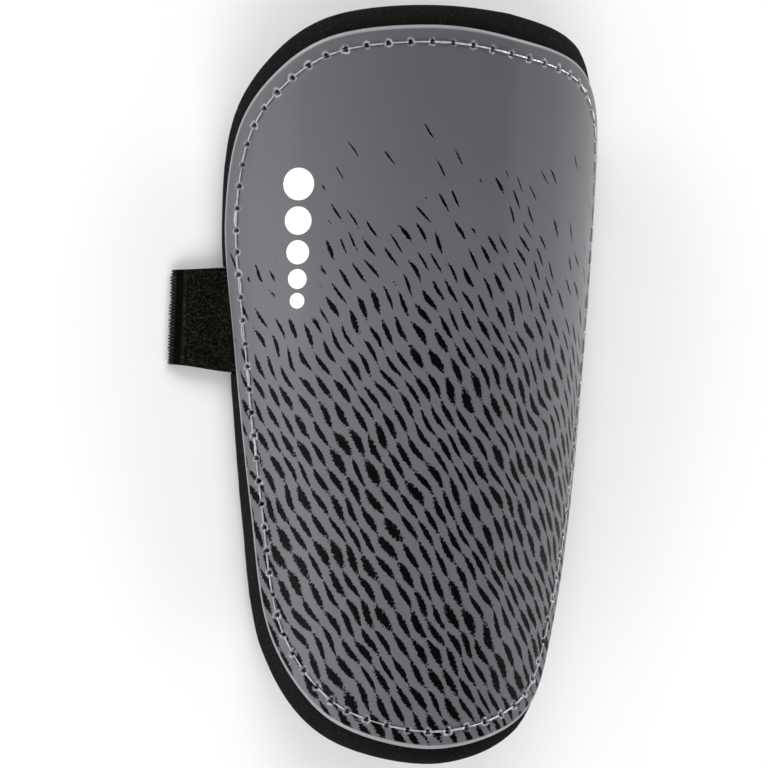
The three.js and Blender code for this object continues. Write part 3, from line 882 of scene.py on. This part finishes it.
def ribbed_strap():
    grid = ribbon_grid([rounded(sum(strap_corners(row), [])) for row in STRAP_ROWS], LONGEST_STEP)
    share = np.linspace(-1, 1, RIBS * RIB_CUTS + 1)
    fine = STRAP_ALONG + share * STRAP_WIDTH / 2
    paths = finer_rows(STRAP_ROWS, grid, fine)
    crest = np.abs(np.sin(np.arange(len(fine)) / RIB_CUTS * math.pi)) ** 1.4
    crest = (crest * rng.uniform(0.5, 1.05, RIBS + 1)[np.arange(len(fine)) // RIB_CUTS])[:, None]
    edge = smooth(1 - np.abs(share), 0.0, 0.03)[:, None]
    place = np.cumsum(np.linalg.norm(np.diff(paths[len(fine) // 2], axis=0, prepend=0), axis=1))
    rough = 0.03 * noise(fine[:, None] / 1.3, place[None, :] / 1.7, 21)
    height = STRAP_THICKNESS / 2 - RIB_DEPTH + RIB_DEPTH * crest
    height = height * (0.55 + 0.45 * edge) + np.minimum(rough, 0)
    # The upper layer sinks in beside the fold, where it is sewn down, and the same mask paints shade into
    # that groove.
    inward = paths[..., 0] - paths[..., 0].min(1, keepdims=True)
    sewn_dip_and_shade = smooth(inward, 0.5, 0.95) * (1 - smooth(inward, 2.7, 3.1)) * (paths[..., 1] > BACK_HEIGHT + 1.0)
    lit = (1 - smooth(inward, 0.2, 0.9)) * crest**2
    # The cords stand out where they turn round the fold.
    raised = smooth(paths[..., 1], BACK_HEIGHT + 0.05, BACK_HEIGHT + 0.45)
    bulge = FOLD_BULGE * raised * (1 - smooth(inward, 0.4, 1.3)) * crest * edge
    lower = height * (1 - 0.45 * sewn_dip_and_shade) + bulge
    piece, length = slab(
        "elastic_band", paths, alongs_at(fine, paths), height, lower, ELASTIC,
        ["elastic_strap"], {"sewn_dip_and_shade": sewn_dip_and_shade, "lit": lit},
    )


FLOOR = 3.0  # half its side, in metres

floor_mesh = bpy.data.meshes.new("floor")
floor_corners = [(-FLOOR, -FLOOR, 0), (FLOOR, -FLOOR, 0), (FLOOR, FLOOR, 0), (-FLOOR, FLOOR, 0)]
floor_mesh.from_pydata(floor_corners, [], [(0, 1, 2, 3)])
floor = bpy.data.objects.new("floor", floor_mesh)
bpy.context.collection.objects.link(floor)

ribbed_strap()


# The facing: its rows and steps, how many loops of yarn stand on it, and how much lower it lies for them.
FACING_ROWS, FACING_STEPS = 131, 72
LOOPS = 2600
LOOP_ROOM = 0.12


def panel_paths(rows, steps):
    """The strap's centreline on its upper layer, from where the facing starts nearly to the fold."""
    paths = []
    for row in rows:
        front = strap_corners(row)[0]
        x, z, _ = front[-1]
        front[-1] = (x + PANEL_SHORT - FOLD_RUN, z, 0.0)
        path = rounded(front, 20)
        at = np.concatenate([[0], np.cumsum(np.linalg.norm(np.diff(path, axis=0), axis=1))])
        start = TUCK * (1 - STRAP_DEPTH / radius_at(row)) + PANEL_START
        want = np.linspace(start, at[-1], steps)
        paths.append(np.stack([np.interp(want, at, path[:, k]) for k in (0, 1)], 1))
    return np.array(paths)


def facing():
    fine = STRAP_ALONG + np.linspace(-1, 1, FACING_ROWS) * STRAP_WIDTH / 2
    paths = finer_rows(STRAP_ROWS, panel_paths(STRAP_ROWS, FACING_STEPS), fine)
    alongs = alongs_at(fine, paths)
    rows, steps = paths.shape[:2]
    i, j = np.meshgrid(np.arange(rows), np.arange(steps), indexing="ij")
    rough = 0.13 * noise(i / 3.1, j / 3.1, 31) + 0.1 * noise(i / 7.3, j / 7.9, 32)
    rough = rough + 0.06 * noise(i / 1.3, j / 1.2, 33)
    rim = np.minimum.reduce([i, rows - 1 - i, j, steps - 1 - j])
    half = PANEL_THICKNESS / 2
    upper = half * (0.75 + 0.25 * smooth(rim, 0, 2))
    lower = (half - LOOP_ROOM) * (0.55 + 0.45 * smooth(rim, 0, 3)) + rough
    offset = -(STRAP_THICKNESS + PANEL_THICKNESS) / 2 - GAP
    seam = np.exp(-(((j - (steps - 3.0)) / 0.8) ** 2)) * (0.6 + 0.4 * noise(i / 2.0, j * 0.0, 36))
    piece, length = slab(
        "loop_facing", paths, alongs, upper, lower + LOOP_ROOM * seam, PILE,
        ["loop_panel"], {"seam": np.clip(seam, 0, 1)}, offset,
    )
    # Small arched loops of yarn stand on the face.
    way, normal = ways_and_normals(paths)
    face = placed(paths + normal * (offset - lower)[..., None], alongs)
    out = -np.stack([normal[..., 0], np.zeros((rows, steps)), normal[..., 1]], -1)
    aside = np.array([0, 1, 0])
    arc = np.linspace(-0.25, math.pi + 0.25, 6)
    loops = []
    for _ in range(LOOPS):
        r, s = rng.integers(1, rows - 1), rng.integers(1, steps - 1)
        turn, size = rng.uniform(0, 2 * math.pi), rng.uniform(0.28, 0.5)
        ahead = np.array([way[r, s, 0], 0, way[r, s, 1]])
        tangent = ahead * math.cos(turn) + aside * math.sin(turn)
        lean = np.array([rng.uniform(-0.2, 0.2), rng.uniform(-0.2, 0.2), 0])
        path = face[r, s] + np.outer(np.cos(arc) * size * 0.5, tangent)
        path = path + np.outer(np.sin(arc) * size, out[r, s])
        loops.append(path + np.outer(np.sin(arc), lean))
    points, faces = tube(loops, rng.uniform(0.035, 0.06, len(loops)), 4)
    tufts = make("loop_tufts", points, faces, TUFT)


facing()


# The camera, square to the guard's length and turned towards the strap's side.

PIXEL = 0.285  # of the photograph, in millimetres
PHOTO_PIXELS, MIDDLE_PIXEL = 768, 375.3  # the photograph's width, and where the curve's middle lies across it
AIM_ALONG, AIM_HEIGHT = 0.14, 40  # of the camera's aim, from the curve's middle
TURN = math.radians(22.5)
DISTANCE = 7000.0
SENSOR = 36
RIGHT = np.array([math.cos(TURN), 0, math.sin(TURN)])
BACK = np.array([-math.sin(TURN), 0, math.cos(TURN)])

camera_data = bpy.data.cameras.new("camera")
camera = bpy.data.objects.new("camera", camera_data)
bpy.context.collection.objects.link(camera)
aside = RIGHT * (PHOTO_PIXELS / 2 - MIDDLE_PIXEL) * PIXEL
centre = SHIFT + aside + np.array([0, AIM_ALONG, 0]) + BACK * AIM_HEIGHT
camera.location = Vector((centre + BACK * DISTANCE) / 1000)
camera.rotation_euler = (0, -TURN, 0)
camera_data.sensor_width = SENSOR
camera_data.lens = SENSOR * DISTANCE / (PHOTO_PIXELS * PIXEL)
camera_data.clip_start, camera_data.clip_end = 0.5, 100
bpy.context.scene.camera = camera


# The floor and the lights.


def floor_paint():
    n = Nodes("floor_paint")
    where = n.add("ShaderNodeTexCoord").outputs["Object"]
    tone = n.mix(n.noise(where, 3.0), (0.86, 0.86, 0.86), (0.88, 0.88, 0.88))
    return n.finish(Base_Color=tone, Roughness=0.8, Specular_IOR_Level=0.2)


floor_mesh.materials.append(floor_paint())


def softbox(name, place, size, power):
    """An area light that faces the guard and doesn't show in the picture."""
    data = bpy.data.lights.new(name, "AREA")
    data.shape = "RECTANGLE"
    data.size, data.size_y = size
    data.energy = power
    light = bpy.data.objects.new(name, data)
    bpy.context.collection.objects.link(light)
    light.location = place
    light.rotation_euler = (-Vector(place)).to_track_quat("-Z", "Y").to_euler()
    light.visible_camera = False


for end in (-1, 1):
    softbox("high_box", (-0.1, 1.9 * end, 1.6), (2.4, 1.5), 30)
    softbox("left_box", (-1.7, 1.4 * end, 0.6), (1.5, 1.0), 23)
    softbox("right_box", (1.7, 1.4 * end, 0.6), (1.5, 1.0), 22)


# The world's least light, and what more there is as the direction's X goes from one value to another.
DIM = 0.12
WORLD_STEPS = ((0.74, 0.86, 0.8), (-0.8, -0.92, 1.0), (0.05, -1.0, 0.6))


def studio():
    """Pale walls to the left and right, darker overhead."""
    world = bpy.data.worlds.new("studio")
    bpy.context.scene.world = world
    world.use_nodes = True
    tree = world.node_tree
    back = tree.nodes["Background"]
    back.inputs[0].default_value = (1, 1, 1, 1)
    split = tree.nodes.new("ShaderNodeSeparateXYZ")
    tree.links.new(tree.nodes.new("ShaderNodeTexCoord").outputs["Generated"], split.inputs[0])
    strength = back.inputs[1]
    for low, high, share in WORLD_STEPS:
        step = tree.nodes.new("ShaderNodeMapRange")
        step.interpolation_type = "SMOOTHSTEP"
        for k, value in enumerate((low, high, 0.0, share)):
            step.inputs[k + 1].default_value = value
        tree.links.new(split.outputs[0], step.inputs[0])
        add = tree.nodes.new("ShaderNodeMath")
        tree.links.new(add.outputs[0], strength)
        tree.links.new(step.outputs[0], add.inputs[1])
        strength = add.inputs[0]
    strength.default_value = DIM


studio()

bpy.context.scene.view_settings.view_transform = "Standard"
